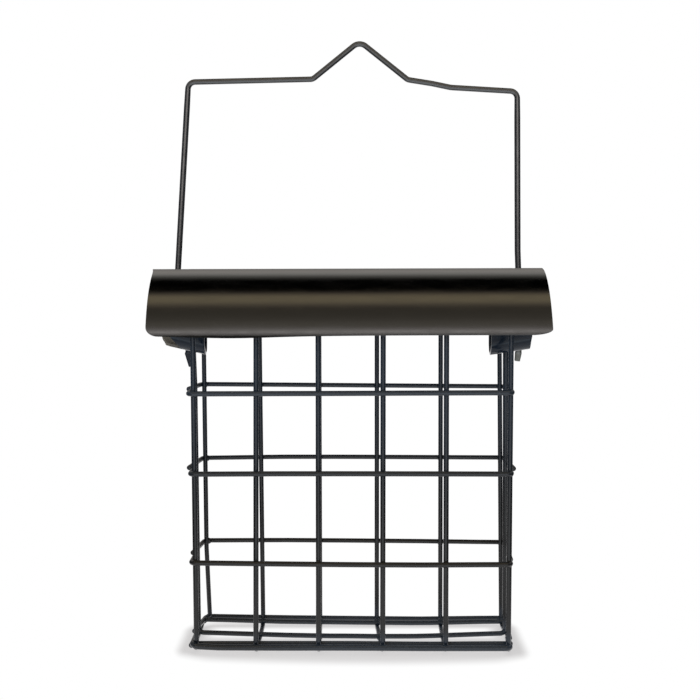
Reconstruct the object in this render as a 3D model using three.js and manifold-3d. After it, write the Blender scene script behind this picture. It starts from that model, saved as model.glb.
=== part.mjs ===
// Suet block feeder: a welded wire cage that hangs from a wire bail, under a curved sheet roof.
// Units are millimetres and +Z is up. X runs along the feeder, -Y is its front, and the origin
// lies on the ground below the middle of the roof.
//
// The cage is six upright hoops, tied by ring wires outside them, by rails on their floor runs
// and by a centre stirrup. The stirrup carries a bracket at each end, and the bail's feet are
// hooked below the brackets. The roof rests on the top rim and slides up the bail's legs.

import * as THREE from 'three';
import { mergeVertices } from 'three/addons/utils/BufferGeometryUtils.js';
import Module from 'manifold-3d';

const wasm = await Module();
wasm.setup();

// Wire stock
const cageWire = 2.1;
const bailWire = 2.4;
// Room that the powder coat and the weld fill between two wires
const seatGap = 0.3;
const wireSides = 12;
const bendStepAngle = Math.PI / 9;
const fewestBendSteps = 2;

// Hoops: U-shaped wires that stand across the cage
const hoopCount = 6;
const hoopPitch = 27;
const hoopDepth = 43.6;
const hoopBend = 5;
// The hand-set hoops stray along X at their feet and heads, by these shares of hoopStray
const hoopStray = 3;
const frontFootStrayShares = [0.2, -0.2, -0.2, 0, 0.05, 0.13];
const backFootStrayShares = [0.5, -0.1, -0.3, -0.55, 0.25, 0.65];
const frontHeadStrayShares = [0.05, 0.05, -0.2, 0, -0.05, 0.1];
const backHeadStrayShares = [0, -0.5, -0.4, -0.6, 0.1, 0];

// Rings: each is a front and a back wire, bent closely round the end hoops' legs. The back wires
// pass outside the stirrup. The top rim closes the hoops' tops, and the upper three rings lie at
// shares of its height
const rimHeight = 146.87;
const baseRingHeight = 3.9;
const lowerRingShare = 0.273;
const middleRingShare = 0.538;
const upperRingShare = 0.7694;
// Both wires' cut ends lie this far in front of the middle
const frontWireEnd = 8.5;
const backWireEnd = 5.5;

// The floor rails lie in the hoops' bends, this far down them
const railDipAngle = THREE.MathUtils.degToRad(45);

// Centre stirrup: its uprights lean, each from its foot to its head, by these offsets outwards
// from the end hoops
const leftStirrupFootOffset = 0.7;
const leftStirrupHeadOffset = 1.9;
const rightStirrupFootOffset = 1.1;
const rightStirrupHeadOffset = 0.2;
const stirrupBend = 2.4;
// The stirrup's floor run bows towards the front
const stirrupBow = 6.5;
const stirrupBowBend = 300;

// Roof: a rolled sheet, just short of a half round, that rests on the rim and stands out
// beyond the rings and the end hoops
const roofFrontOverhang = 4;
const roofEndOverhang = 17.6;
const roofEdgeShortfall = 0.3;
const roofSheet = 0.9;
const roofArcSteps = 36;
const leftCornerRun = 5;
const leftCornerRise = 4.4;
const rightCornerRun = 9.5;
const rightCornerRise = 3;
const cornerSteps = 6;
// At its full lift the roof stops this far below the bail's lower shoulder
const liftClearance = 13.1;
const slotClearance = 0.45;
const slotSteps = 8;
// The cage hangs this far to the right of the roof's middle
const cageShift = 1.1;

// Top rim
const rimButtGap = 0.4;

// Hanger brackets: rolled channels, round side down, with the inner end lower. They hang below
// the rim, with their middle outside the end hoops
const leftBracketLength = 18.9;
const rightBracketLength = 17.2;
const bracketWidth = 12;
const bracketHeight = 12;
const bracketSheet = 1.2;
const leftBracketOffset = 5.3;
const rightBracketOffset = 1.8;
const bracketDrop = 16.97;
const bracketTilt = THREE.MathUtils.degToRad(8);
const leftBracketRoundRun = 6.5;
const leftBracketRoundRise = 5.2;
const rightBracketRound = 2;
const bracketSteps = 10;
const holeClearance = 0.3;
const holeSides = 20;

// Bail: heights are above the roof's top, and offsets are outwards from the end hoops
const throatRise = 82.9;
const leftThroatReach = 17.1;
const rightThroatReach = 23.8;
const throatBend = 3;
const peakRise = 16;
const peakOffset = 3.5;
const peakBend = 4.2;
const leftArmFall = 1.8;
const rightArmFall = 5.8;
const leftShoulderOffset = 3.6;
const rightShoulderOffset = 4.4;
const shoulderBend = 3.2;
// The legs spring outwards to the roof, and back inwards below it to the brackets
const leftRoofOffset = 8.7;
const rightRoofOffset = 5.2;
const kneeDrop = 8;
const rightKneeDrop = 13;
const rightKneeOffset = 6.9;
const kneeBend = 24;
const leftFootOffset = 4.4;
const rightFootOffset = 5.8;
const leftFootDrop = 7.3;
const rightFootDrop = 4.9;
// The feet are pinched flat below the brackets, so that they cannot pull out
const footClearance = 0.5;
const footTopWidth = 3.1;
const footEndWidth = 2.4;
const footThickness = 1.5;

// One overrun for every cutting tool
const overrun = 3;

// Places that follow from the sizes above
const cageRadius = cageWire / 2;
const bailRadius = bailWire / 2;
const wirePitch = cageWire + seatGap;
const legY = hoopDepth / 2;
const endHoopX = ((hoopCount - 1) * hoopPitch) / 2;
const ringY = legY + wirePitch;
const floorZ = cageRadius + wirePitch;
const railBend = hoopBend - wirePitch;
const railY = legY - hoopBend + railBend * Math.sin(railDipAngle);
const railZ = cageRadius + hoopBend - railBend * Math.cos(railDipAngle);
const roofLength = 2 * (endHoopX + roofEndOverhang);
const roofRadius = ringY + roofFrontOverhang;
const roofInnerRadius = roofRadius - roofSheet;
const rimSeatRadius = roofInnerRadius - seatGap - cageRadius;
const roofAxisZ = rimHeight - Math.sqrt(rimSeatRadius ** 2 - ringY ** 2);
const roofTop = roofAxisZ + roofRadius;
const roofLift = throatRise - rightArmFall - liftClearance;
const bracketFloor = rimHeight - bracketDrop;
const stirrupTop = bracketFloor + bracketHeight - bracketSheet;
const throatHeight = roofTop + throatRise;

// Materials
const cagePaint = new THREE.MeshStandardMaterial({ color: 0x1b1e22, roughness: 0.45, metalness: 0.2 });
const bailPaint = new THREE.MeshStandardMaterial({ color: 0x1c1a18, roughness: 0.4, metalness: 0.2 });
const bracketPaint = new THREE.MeshStandardMaterial({ color: 0x1a2129, roughness: 0.25, metalness: 0.3 });
const roofPaint = new THREE.MeshStandardMaterial({ color: 0x2b2620, roughness: 0.35, metalness: 0.4 });

// A wire's centreline: straight runs joined by round bends. Its stations lie only at the ends of
// the runs and along the bends, and its cross-section keeps one axis near the given side.
class WirePath extends THREE.Curve {
  constructor(corners, side) {
    super();
    this.side = side;
    this.stations = [];
    corners.forEach((corner, index) => {
      const before = corners[index - 1];
      const after = corners[index + 1];
      if (before && after) {
        this.addBend(before.at, corner, after.at);
      } else {
        const run = before ? directionOf(before.at, corner.at) : directionOf(corner.at, after.at);
        this.stations.push({ point: corner.at, tangent: run });
      }
    });
  }

  addBend(from, corner, to) {
    const incoming = directionOf(from, corner.at);
    const outgoing = directionOf(corner.at, to);
    const turn = incoming.angleTo(outgoing);
    const setback = corner.bend * Math.tan(turn / 2);
    const start = corner.at.clone().addScaledVector(incoming, -setback);
    const inward = outgoing.clone().addScaledVector(incoming, -Math.cos(turn)).normalize();
    const steps = Math.max(fewestBendSteps, Math.ceil(turn / bendStepAngle));
    for (let step = 0; step <= steps; step += 1) {
      const angle = (turn * step) / steps;
      const point = start.clone();
      point.addScaledVector(incoming, corner.bend * Math.sin(angle));
      point.addScaledVector(inward, corner.bend * (1 - Math.cos(angle)));
      const tangent = incoming.clone().multiplyScalar(Math.cos(angle));
      tangent.addScaledVector(inward, Math.sin(angle));
      this.stations.push({ point, tangent });
    }
  }

  getSpacedPoints() {
    return this.stations.map((station) => station.point);
  }

  computeFrenetFrames() {
    const tangents = this.stations.map((station) => station.tangent);
    const binormals = tangents.map((tangent) => {
      const across = this.side.clone();
      return across.addScaledVector(tangent, -across.dot(tangent)).normalize();
    });
    const normals = tangents.map((tangent, index) => binormals[index].clone().cross(tangent));
    return { tangents, normals, binormals };
  }
}

function directionOf(from, to) {
  return to.clone().sub(from).normalize();
}

function corner(x, y, z, bend) {
  return { at: new THREE.Vector3(x, y, z), bend };
}

// A regular outline whose flats, not its corners, lie at the given radius
function flatSided(radius, sides) {
  const reach = radius / Math.cos(Math.PI / sides);
  const outline = new THREE.Shape();
  for (let index = 0; index < sides; index += 1) {
    const angle = (2 * Math.PI * (index + 0.5)) / sides;
    const point = [reach * Math.cos(angle), reach * Math.sin(angle)];
    if (index === 0) {
      outline.moveTo(...point);
    } else {
      outline.lineTo(...point);
    }
  }
  outline.closePath();
  return outline;
}

function bentWire(corners, side, diameter) {
  const path = new WirePath(corners, side);
  const steps = path.stations.length - 1;
  return new THREE.ExtrudeGeometry(flatSided(diameter / 2, wireSides), { steps, extrudePath: path });
}

// An outline in X and Z, made solid along Y about the middle plane
function slabAcross(outline, thickness, curveSegments) {
  const slab = new THREE.ExtrudeGeometry(outline, { depth: thickness, bevelEnabled: false, curveSegments });
  slab.translate(0, 0, -thickness / 2);
  slab.rotateX(Math.PI / 2);
  return slab;
}

function upright(outline, bottom, top, curveSegments) {
  const depth = top - bottom;
  const prism = new THREE.ExtrudeGeometry(outline, { depth, bevelEnabled: false, curveSegments });
  prism.translate(0, 0, bottom);
  return prism;
}

function solidOf(geometry) {
  const bare = geometry.clone();
  bare.deleteAttribute('normal');
  bare.deleteAttribute('uv');
  const merged = mergeVertices(bare);
  const vertProperties = new Float32Array(merged.attributes.position.array);
  const triVerts = new Uint32Array(merged.index.array);
  return new wasm.Manifold(new wasm.Mesh({ numProp: 3, vertProperties, triVerts }));
}

function geometryOf(solid) {
  const mesh = solid.getMesh();
  const geometry = new THREE.BufferGeometry();
  geometry.setAttribute('position', new THREE.BufferAttribute(new Float32Array(mesh.vertProperties), 3));
  geometry.setIndex(new THREE.BufferAttribute(new Uint32Array(mesh.triVerts), 1));
  geometry.computeVertexNormals();
  return geometry;
}

// How far a hoop's front or back leg strays from its pitch at a height
function legStray(index, isFront, z) {
  const foot = (isFront ? frontFootStrayShares : backFootStrayShares)[index];
  const head = (isFront ? frontHeadStrayShares : backHeadStrayShares)[index];
  return hoopStray * (foot + ((head - foot) * (z - cageRadius)) / rimHeight);
}

// Hoop: down the front, across the floor and up the back
function hoop(index) {
  const topZ = rimHeight + cageRadius;
  const frontFoot = legStray(index, true, cageRadius);
  const backFoot = legStray(index, false, cageRadius);
  const across = new THREE.Vector3(hoopDepth, frontFoot - backFoot, 0).normalize();
  const corners = [
    corner(legStray(index, true, topZ), -legY, topZ),
    corner(frontFoot, -legY, cageRadius, hoopBend),
    corner(backFoot, legY, cageRadius, hoopBend),
    corner(legStray(index, false, topZ), legY, topZ),
  ];
  return bentWire(corners, across, cageWire);
}

// Where a ring's corner stands, outside the end hoop's leg
function ringCornerX(isLeft, isFront, height) {
  return isLeft
    ? -endHoopX + legStray(0, isFront, height) - wirePitch
    : endHoopX + legStray(hoopCount - 1, isFront, height) + wirePitch;
}

// Where the stirrup's left or right upright stands at a height
function stirrupX(isLeft, z) {
  const foot = isLeft ? leftStirrupFootOffset : rightStirrupFootOffset;
  const head = isLeft ? leftStirrupHeadOffset : rightStirrupHeadOffset;
  const reach = endHoopX + foot + ((head - foot) * (z - floorZ)) / (stirrupTop - floorZ);
  return isLeft ? -reach : reach;
}

// Where a ring's back wire runs along a side, straight from its corner past the stirrup
function backSideX(isLeft, height, y) {
  const cornerX = ringCornerX(isLeft, false, height);
  const passX = stirrupX(isLeft, height) + (isLeft ? -wirePitch : wirePitch);
  return passX + ((cornerX - passX) * y) / ringY;
}

// Ring wires, drawn at their own height
function ringFrontWire(height) {
  const left = ringCornerX(true, true, height);
  const right = ringCornerX(false, true, height);
  const corners = [
    corner(left, -frontWireEnd, 0),
    corner(left, -ringY, 0, wirePitch),
    corner(right, -ringY, 0, wirePitch),
    corner(right, -frontWireEnd, 0),
  ];
  return bentWire(corners, new THREE.Vector3(0, 0, 1), cageWire);
}

function ringBackWire(height) {
  const corners = [
    corner(backSideX(true, height, -backWireEnd), -backWireEnd, 0),
    corner(ringCornerX(true, false, height), ringY, 0, wirePitch),
    corner(ringCornerX(false, false, height), ringY, 0, wirePitch),
    corner(backSideX(false, height, -backWireEnd), -backWireEnd, 0),
  ];
  return bentWire(corners, new THREE.Vector3(0, 0, 1), cageWire);
}

function topRim() {
  const corners = [
    corner(-rimButtGap / 2, ringY, 0),
    corner(ringCornerX(true, false, rimHeight), ringY, 0, wirePitch),
    corner(ringCornerX(true, true, rimHeight), -ringY, 0, wirePitch),
    corner(ringCornerX(false, true, rimHeight), -ringY, 0, wirePitch),
    corner(ringCornerX(false, false, rimHeight), ringY, 0, wirePitch),
    corner(rimButtGap / 2, ringY, 0),
  ];
  return bentWire(corners, new THREE.Vector3(0, 0, 1), cageWire);
}

// The floor rails butt against the inside of the base ring
function baseRail(isFront) {
  const buttGap = cageRadius + seatGap;
  const sideX = (isLeft) =>
    isFront ? ringCornerX(isLeft, true, baseRingHeight) : backSideX(isLeft, baseRingHeight, railY);
  const corners = [corner(sideX(true) + buttGap, 0, 0), corner(sideX(false) - buttGap, 0, 0)];
  return bentWire(corners, new THREE.Vector3(0, 0, 1), cageWire);
}

function centreStirrup() {
  const corners = [
    corner(stirrupX(true, stirrupTop), 0, stirrupTop),
    corner(stirrupX(true, floorZ), 0, floorZ, stirrupBend),
    corner(0, -stirrupBow, floorZ, stirrupBowBend),
    corner(stirrupX(false, floorZ), 0, floorZ, stirrupBend),
    corner(stirrupX(false, stirrupTop), 0, stirrupTop),
  ];
  return bentWire(corners, new THREE.Vector3(0, 1, 0), cageWire);
}

// The bail's centreline below its left and right shoulders, from the shoulder down
function bailLeg(isLeft) {
  if (isLeft) {
    const shoulderZ = throatHeight - leftArmFall;
    const lean = (leftRoofOffset - leftShoulderOffset) / (shoulderZ - roofTop);
    const kneeX = endHoopX + leftRoofOffset + lean * kneeDrop;
    return [
      corner(-endHoopX - leftShoulderOffset, 0, shoulderZ, shoulderBend),
      corner(-kneeX, 0, roofTop - kneeDrop, kneeBend),
      corner(-endHoopX - leftFootOffset, 0, bracketFloor - leftFootDrop),
    ];
  }
  return [
    corner(endHoopX + rightShoulderOffset, 0, throatHeight - rightArmFall, shoulderBend),
    corner(endHoopX + rightRoofOffset, 0, roofTop, kneeBend),
    corner(endHoopX + rightKneeOffset, 0, roofTop - rightKneeDrop, kneeBend),
    corner(endHoopX + rightFootOffset, 0, bracketFloor - rightFootDrop),
  ];
}

// Where a leg's centreline stands at a height
function bailLegX(isLeft, z) {
  const leg = bailLeg(isLeft);
  const lower = leg.findIndex((place) => place.at.z <= z);
  const above = leg[lower - 1].at;
  const below = leg[lower].at;
  return above.x + ((below.x - above.x) * (above.z - z)) / (above.z - below.z);
}

function footLength(isLeft) {
  return (isLeft ? leftFootDrop : rightFootDrop) - footClearance;
}

function bailFoot(isLeft) {
  const leg = bailLeg(isLeft);
  const end = leg[leg.length - 1].at;
  const run = directionOf(leg[leg.length - 2].at, end);
  const outline = new THREE.Shape();
  outline.moveTo(-footEndWidth / 2, 0);
  outline.lineTo(footEndWidth / 2, 0);
  outline.lineTo(footTopWidth / 2, footLength(isLeft));
  outline.lineTo(-footTopWidth / 2, footLength(isLeft));
  outline.closePath();
  const foot = slabAcross(outline, footThickness);
  foot.rotateY(Math.atan2(-run.x, -run.z));
  foot.translate(end.x, end.y, end.z);
  return foot;
}

function bail() {
  // The round wire stops within the pinched feet
  const roundLeg = (isLeft) => {
    const leg = bailLeg(isLeft);
    const end = leg[leg.length - 1];
    const run = directionOf(leg[leg.length - 2].at, end.at);
    end.at.addScaledVector(run, bailRadius - footLength(isLeft));
    return leg;
  };
  const corners = [
    ...roundLeg(true).reverse(),
    corner(-leftThroatReach, 0, throatHeight, throatBend),
    corner(peakOffset, 0, throatHeight + peakRise, peakBend),
    corner(rightThroatReach, 0, throatHeight, throatBend),
    ...roundLeg(false),
  ];
  const wire = solidOf(bentWire(corners, new THREE.Vector3(0, 1, 0), bailWire));
  return geometryOf(wire.add(solidOf(bailFoot(true))).add(solidOf(bailFoot(false))));
}

// Bracket: a rolled channel with a hole for the stirrup and one for the bail's leg
function hangerBracket(isLeft) {
  const outward = isLeft ? -1 : 1;
  const length = isLeft ? leftBracketLength : rightBracketLength;
  const offset = isLeft ? leftBracketOffset : rightBracketOffset;
  const outer = bracketWidth / 2;
  const inner = outer - bracketSheet;
  const section = new THREE.Shape();
  section.moveTo(outer, bracketHeight);
  section.lineTo(outer, outer);
  section.absarc(0, outer, outer, 0, Math.PI, true);
  section.lineTo(-outer, bracketHeight);
  section.lineTo(-inner, bracketHeight);
  section.lineTo(-inner, outer);
  section.absarc(0, outer, inner, Math.PI, 0, false);
  section.lineTo(inner, bracketHeight);
  section.closePath();
  const channel = new THREE.ExtrudeGeometry(section, {
    depth: length,
    bevelEnabled: false,
    curveSegments: bracketSteps,
  });
  channel.translate(0, 0, -length / 2);
  channel.rotateX(Math.PI / 2);
  channel.rotateZ(Math.PI / 2);
  let solid = solidOf(channel);

  // The outer lower corners are rounded off
  const trim = isLeft
    ? roundedCornerTool(leftBracketRoundRun, leftBracketRoundRise, bracketWidth)
    : roundedCornerTool(rightBracketRound, rightBracketRound, bracketWidth);
  trim.rotateZ(isLeft ? Math.PI : 0);
  trim.translate((outward * length) / 2, 0, 0);
  solid = solid.subtract(solidOf(trim));

  solid = solid.rotate([0, THREE.MathUtils.radToDeg(-outward * bracketTilt), 0]);
  solid = solid.translate([outward * (endHoopX + offset), 0, bracketFloor]);
  const bottom = bracketFloor - bracketHeight;
  const top = bracketFloor + outer;
  const stirrupHole = new THREE.Shape();
  stirrupHole.absarc(stirrupX(isLeft, bracketFloor), 0, cageRadius + holeClearance, 0, 2 * Math.PI);
  const bailHole = new THREE.Shape();
  bailHole.absarc(bailLegX(isLeft, bracketFloor), 0, bailRadius + holeClearance, 0, 2 * Math.PI);
  solid = solid.subtract(solidOf(upright(stirrupHole, bottom, top, holeSides)));
  solid = solid.subtract(solidOf(upright(bailHole, bottom, top, holeSides)));
  return geometryOf(solid);
}

// A tool that leaves a rounded corner at the origin, on a plate that lies towards -X and +Z
function roundedCornerTool(run, rise, width) {
  const outline = new THREE.Shape();
  outline.moveTo(-run, 0);
  for (let step = 1; step <= cornerSteps; step += 1) {
    const angle = (Math.PI * step) / (2 * cornerSteps);
    outline.lineTo(run * (Math.sin(angle) - 1), rise * (1 - Math.cos(angle)));
  }
  outline.lineTo(overrun, rise);
  outline.lineTo(overrun, -overrun);
  outline.lineTo(-run, -overrun);
  outline.closePath();
  return slabAcross(outline, width + 2 * overrun);
}

// Roof, drawn about the axis that its sheet is rolled round
function roof() {
  const halfAngle = Math.acos(roofEdgeShortfall / roofRadius);
  const section = new THREE.Shape();
  section.absarc(0, 0, roofRadius, Math.PI / 2 - halfAngle, Math.PI / 2 + halfAngle, false);
  section.absarc(0, 0, roofInnerRadius, Math.PI / 2 + halfAngle, Math.PI / 2 - halfAngle, true);
  section.closePath();
  const sheet = new THREE.ExtrudeGeometry(section, {
    depth: roofLength,
    bevelEnabled: false,
    curveSegments: roofArcSteps,
  });
  sheet.translate(0, 0, -roofLength / 2);
  sheet.rotateX(Math.PI / 2);
  sheet.rotateZ(Math.PI / 2);
  let solid = solidOf(sheet);

  const rightCorner = roundedCornerTool(rightCornerRun, rightCornerRise, 2 * roofRadius);
  rightCorner.translate(roofLength / 2, 0, roofEdgeShortfall);
  const leftCorner = roundedCornerTool(leftCornerRun, leftCornerRise, 2 * roofRadius);
  leftCorner.rotateZ(Math.PI);
  leftCorner.translate(-roofLength / 2, 0, roofEdgeShortfall);
  solid = solid.subtract(solidOf(rightCorner)).subtract(solidOf(leftCorner));

  // A slot for each leg, which clears it from rest to the full lift
  const slotRadius = bailRadius + slotClearance;
  for (const isLeft of [true, false]) {
    const restX = bailLegX(isLeft, roofTop) + cageShift;
    const liftedX = bailLegX(isLeft, roofTop + roofLift) + cageShift;
    const slot = new THREE.Shape();
    slot.absarc(Math.max(restX, liftedX), 0, slotRadius, -Math.PI / 2, Math.PI / 2, false);
    slot.absarc(Math.min(restX, liftedX), 0, slotRadius, Math.PI / 2, (3 * Math.PI) / 2, false);
    slot.closePath();
    solid = solid.subtract(solidOf(upright(slot, 0, roofRadius + overrun, slotSteps)));
  }
  return geometryOf(solid);
}

function piece(name, geometry, material, x, y, z) {
  const mesh = new THREE.Mesh(geometry, material);
  mesh.name = name;
  mesh.position.set(x, y, z);
  return mesh;
}

const feeder = new THREE.Group();
const cage = new THREE.Group();
const hanger = new THREE.Group();
cage.position.x = cageShift;
hanger.position.x = cageShift;
feeder.add(cage, hanger);

for (let index = 0; index < hoopCount; index += 1) {
  const x = index * hoopPitch - endHoopX;
  cage.add(piece(`hoop_${index + 1}`, hoop(index), cagePaint.clone(), x, 0, 0));
}

const ringHeights = {
  base: baseRingHeight,
  lower: rimHeight * lowerRingShare,
  middle: rimHeight * middleRingShare,
  upper: rimHeight * upperRingShare,
};
for (const [level, height] of Object.entries(ringHeights)) {
  cage.add(piece(`${level}_ring_front`, ringFrontWire(height), cagePaint.clone(), 0, 0, height));
  cage.add(piece(`${level}_ring_back`, ringBackWire(height), cagePaint.clone(), 0, 0, height));
}

cage.add(piece('top_rim', topRim(), cagePaint.clone(), 0, 0, rimHeight));
cage.add(piece('base_rail_front', baseRail(true), cagePaint.clone(), 0, -railY, railZ));
cage.add(piece('base_rail_back', baseRail(false), cagePaint.clone(), 0, railY, railZ));
cage.add(piece('centre_stirrup', centreStirrup(), cagePaint.clone(), 0, 0, 0));

hanger.add(piece('hanger_bracket_left', hangerBracket(true), bracketPaint.clone(), 0, 0, 0));
hanger.add(piece('hanger_bracket_right', hangerBracket(false), bracketPaint.clone(), 0, 0, 0));
hanger.add(piece('bail', bail(), bailPaint, 0, 0, 0));

feeder.add(piece('roof', roof(), roofPaint, 0, 0, roofAxisZ));

export default feeder;
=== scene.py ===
import math

import bpy
import numpy as np
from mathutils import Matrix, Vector, noise


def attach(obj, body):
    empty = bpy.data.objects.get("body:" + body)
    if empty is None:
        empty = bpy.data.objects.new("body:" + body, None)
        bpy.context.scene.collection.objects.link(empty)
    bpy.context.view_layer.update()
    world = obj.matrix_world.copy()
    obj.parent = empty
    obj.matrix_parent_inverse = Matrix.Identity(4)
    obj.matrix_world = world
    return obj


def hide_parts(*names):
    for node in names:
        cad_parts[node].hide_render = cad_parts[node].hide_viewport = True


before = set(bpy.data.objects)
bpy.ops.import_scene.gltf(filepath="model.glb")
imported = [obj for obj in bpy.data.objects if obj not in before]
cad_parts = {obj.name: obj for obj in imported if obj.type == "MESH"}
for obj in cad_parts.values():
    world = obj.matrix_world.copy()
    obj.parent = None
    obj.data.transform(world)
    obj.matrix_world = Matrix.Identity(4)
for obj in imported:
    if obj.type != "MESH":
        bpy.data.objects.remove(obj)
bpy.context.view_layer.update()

MM = 0.001

# Sizes of the part, in millimetres, as its solids have them
CAGE_WIRE, BAIL_WIRE, SEAT_GAP = 2.1, 2.4, 0.3
CAGE_R, BAIL_R, PITCH = CAGE_WIRE / 2, BAIL_WIRE / 2, CAGE_WIRE + SEAT_GAP
HOOPS, HOOP_PITCH, HOOP_DEPTH, HOOP_BEND = 6, 27.0, 43.6, 5.0
LEG_Y, END_X = HOOP_DEPTH / 2, (HOOPS - 1) * HOOP_PITCH / 2
RING_Y, FLOOR_Z = LEG_Y + PITCH, CAGE_R + PITCH
# How far the feet and heads of the hoops stray along the cage, as shares of STRAY
STRAY = 3.0
FRONT_FOOT = [0.27, -0.2, -0.2, 0, 0.05, 0.04]
BACK_FOOT = [0.7, -0.1, -0.3, -0.55, 0.25, 0.65]
FRONT_HEAD = [0.05, 0.05, -0.2, 0, -0.05, 0.1]
BACK_HEAD = [0, -0.5, -0.4, -0.6, 0.1, 0]
RIM_Z = 146.87
RING_Z = {
    "base": 3.9,
    "lower": RIM_Z * 0.273,
    "middle": RIM_Z * 0.538,
    "upper": RIM_Z * 0.7694,
}
# The front wires' cut ends lie this far in front of the middle
FRONT_END = 8.5
# The back wires' cut ends, left and right: (along, across)
BACK_ENDS = {
    "base": ((-70.0, -1.5), (70.4, -4.0)),
    "lower": ((-70.3, -2.5), (70.4, -5.0)),
    "middle": ((-71.2, -6.0), (70.8, -9.5)),
    "upper": ((-71.9, 0.5), (70.3, -4.0)),
}
FRONT_BEND, BACK_BEND, RIM_BEND, RIM_GAP = 2.2, 3.4, 2.4, 0.2
RAIL_BEND = HOOP_BEND - PITCH
RAIL_Y = LEG_Y - HOOP_BEND + RAIL_BEND * math.sqrt(0.5)
RAIL_Z = CAGE_R + HOOP_BEND - RAIL_BEND * math.sqrt(0.5)
# The rails: (across, left end, right end)
RAILS = {"front": (-RAIL_Y, -66.9, 68.9), "back": (RAIL_Y, -66.7, 70.0)}
ROOF_SHEET, EDGE_SHORT, END_OVERHANG = 0.9, 0.3, 17.6
ROOF_LENGTH, ROOF_R = 2 * (END_X + END_OVERHANG), RING_Y + 4.0
ROOF_AXIS = RIM_Z - math.sqrt((ROOF_R - ROOF_SHEET - SEAT_GAP - CAGE_R) ** 2 - RING_Y**2)
ROOF_TOP = ROOF_AXIS + ROOF_R
BRACKET_Z = RIM_Z - 16.97
BRACKET_W, BRACKET_H, BRACKET_T = 12.0, 12.0, 1.2
BRACKET_X = {"left": -(END_X + 5.3), "right": END_X + 1.8}
STIRRUP_BEND, STIRRUP_TOP = 2.4, BRACKET_Z + BRACKET_H - BRACKET_T
# The stirrup's floor run bows forwards
BOW, BOW_BEND = 6.5, 300.0
# The bail's feet, left and right, end this far below the brackets
FOOT_DROP = (7.3, 4.9)
THROAT_Z = ROOF_TOP + 82.9

# Handwork on the wires, in millimetres
# The cage stands this far to the right of the roof's middle
SHIFT = 1.1
# The coat stands this proud of the wire
COAT = 0.04
# Welding pressed the rings this far into the hoops
PRESS = 0.3
# The drawn wire thins by this share of a millimetre for each one towards the back
THINNING = 0.0021
# The rings' corners stand this far outside the end hoops' legs: (left, front)
CORNER_OUT = {(True, True): 1.55, (True, False): 1.8, (False, True): 0.45, (False, False): 1.7}
# The upper ring reaches out most, at its left front corner
UPPER_CORNER_OUT = 1.95
# The front wires' right ends splay outwards
FRONT_SPLAY = 0.9
# The stirrup's legs, left and right, stand this far outside the end hoops: (foot, head)
STIRRUP_OUT = {True: (0.7, 2.4), False: (1.4, 0.55)}
STIRRUP_KNEE, STIRRUP_KNEE_BEND = (-69.0, 0, 114), 30
# The end hoops' floor runs bow outwards through these places: (along, across)
BOWED = {0: ((-68.9, -7), (-68.9, 13)), HOOPS - 1: ((70.1, -4), (70.3, 6))}
BOWED_BEND = 12
# Hoop 1 has its front foot up a little, its back foot kicked out, and a knee low in its back leg
FRONT_FOOT_UP = 1.2
KICKED_FOOT, KICKED_BEND = (-68.6, LEG_Y, 3.05), 2
KNEE = [((-65.5, LEG_Y, 5.5), 1), ((-66.8, LEG_Y, 37), 60)]
# How far the wires stand above or below their true heights, at five places along them
SAG_X = (-64, -32, 0, 32, 64)
SAGS = {
    ("base", True): (-0.22, -0.38, -0.36, -0.58, -0.56),
    ("base", False): (0.4, -0.15, -0.5, -0.8, -0.42),
    ("lower", True): (0.25, -0.15, -0.48, -0.62, -0.45),
    ("lower", False): (-0.12, 0.0, -0.2, -0.5, -0.93),
    ("middle", True): (-0.38, -0.22, -0.2, -0.25, -0.34),
    ("middle", False): (-0.5, -0.03, -0.05, -0.2, -0.35),
    ("upper", True): (-0.05, 0.05, 0.15, 0.3, 0.42),
    ("upper", False): (-0.42, -0.65, -0.9, -1.15, -1.37),
    ("rail", True): (-0.25, -0.25, -0.25, -0.55, -0.35),
    ("rail", False): (-0.1, -0.8, -1.0, -1.3, -0.75),
    ("floor", True): (-0.05, -0.2, -0.25, -0.75, -0.45),
}
# How far the rails stray across the cage, at the same places
STRAIGHT = (0.0, 0.0, 0.0, 0.0, 0.0)
RAIL_STRAY = {True: (-0.6, -0.6, -0.6, -0.6, -0.6), False: (0.0, -1.0, -1.6, -1.6, -1.0)}
# The base's front ring turns up at its left corner
TURN_FROM, TURN_OVER, TURN_UP = -62, 7, 1.3
# The right arms of two back ring wires hang down towards their cut ends
ARM_X, ARM_END, ARM_DROOP = 60, -5.0, {"base": 1.9, "lower": 1.8}
# The coat is thicker on the base's front ring below this height
BASE_MORE, BASE_MORE_Z = 0.2, 5
# It is thicker on the stirrup's right leg too
LEG_MORE, LEG_MORE_X, LEG_MORE_Z = 0.25, 60, 9


def vec(x, y, z):
    return Vector((x, y, z))


# Materials
def feed(value, socket):
    """Gives a socket another node's output, a colour or a number."""
    if isinstance(value, bpy.types.NodeSocket):
        value.id_data.links.new(value, socket)
    elif isinstance(value, tuple):
        socket.default_value = (*value, 1.0)
    else:
        socket.default_value = value


def node_after(value, kind):
    """A new node in the tree that an output is in."""
    return value.id_data.nodes.new(kind)


def maths(operation, *values):
    node = node_after(values[0], "ShaderNodeMath")
    node.operation = operation
    for value, socket in zip(values, node.inputs):
        feed(value, socket)
    return node.outputs[0]


def plus(first, *others):
    for other in others:
        first = maths("ADD", first, other)
    return first


def minus(a, b):
    return maths("SUBTRACT", a, b)


def times(first, *others):
    for other in others:
        first = maths("MULTIPLY", first, other)
    return first


def over(a, b):
    return maths("DIVIDE", a, b)


def absolute(value):
    return maths("ABSOLUTE", value)


def larger(a, b):
    return maths("MAXIMUM", a, b)


def distance(a, b):
    """How far a place is from the middle, from its two distances along and across."""
    return maths("SQRT", plus(times(a, a), times(b, b)))


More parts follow.
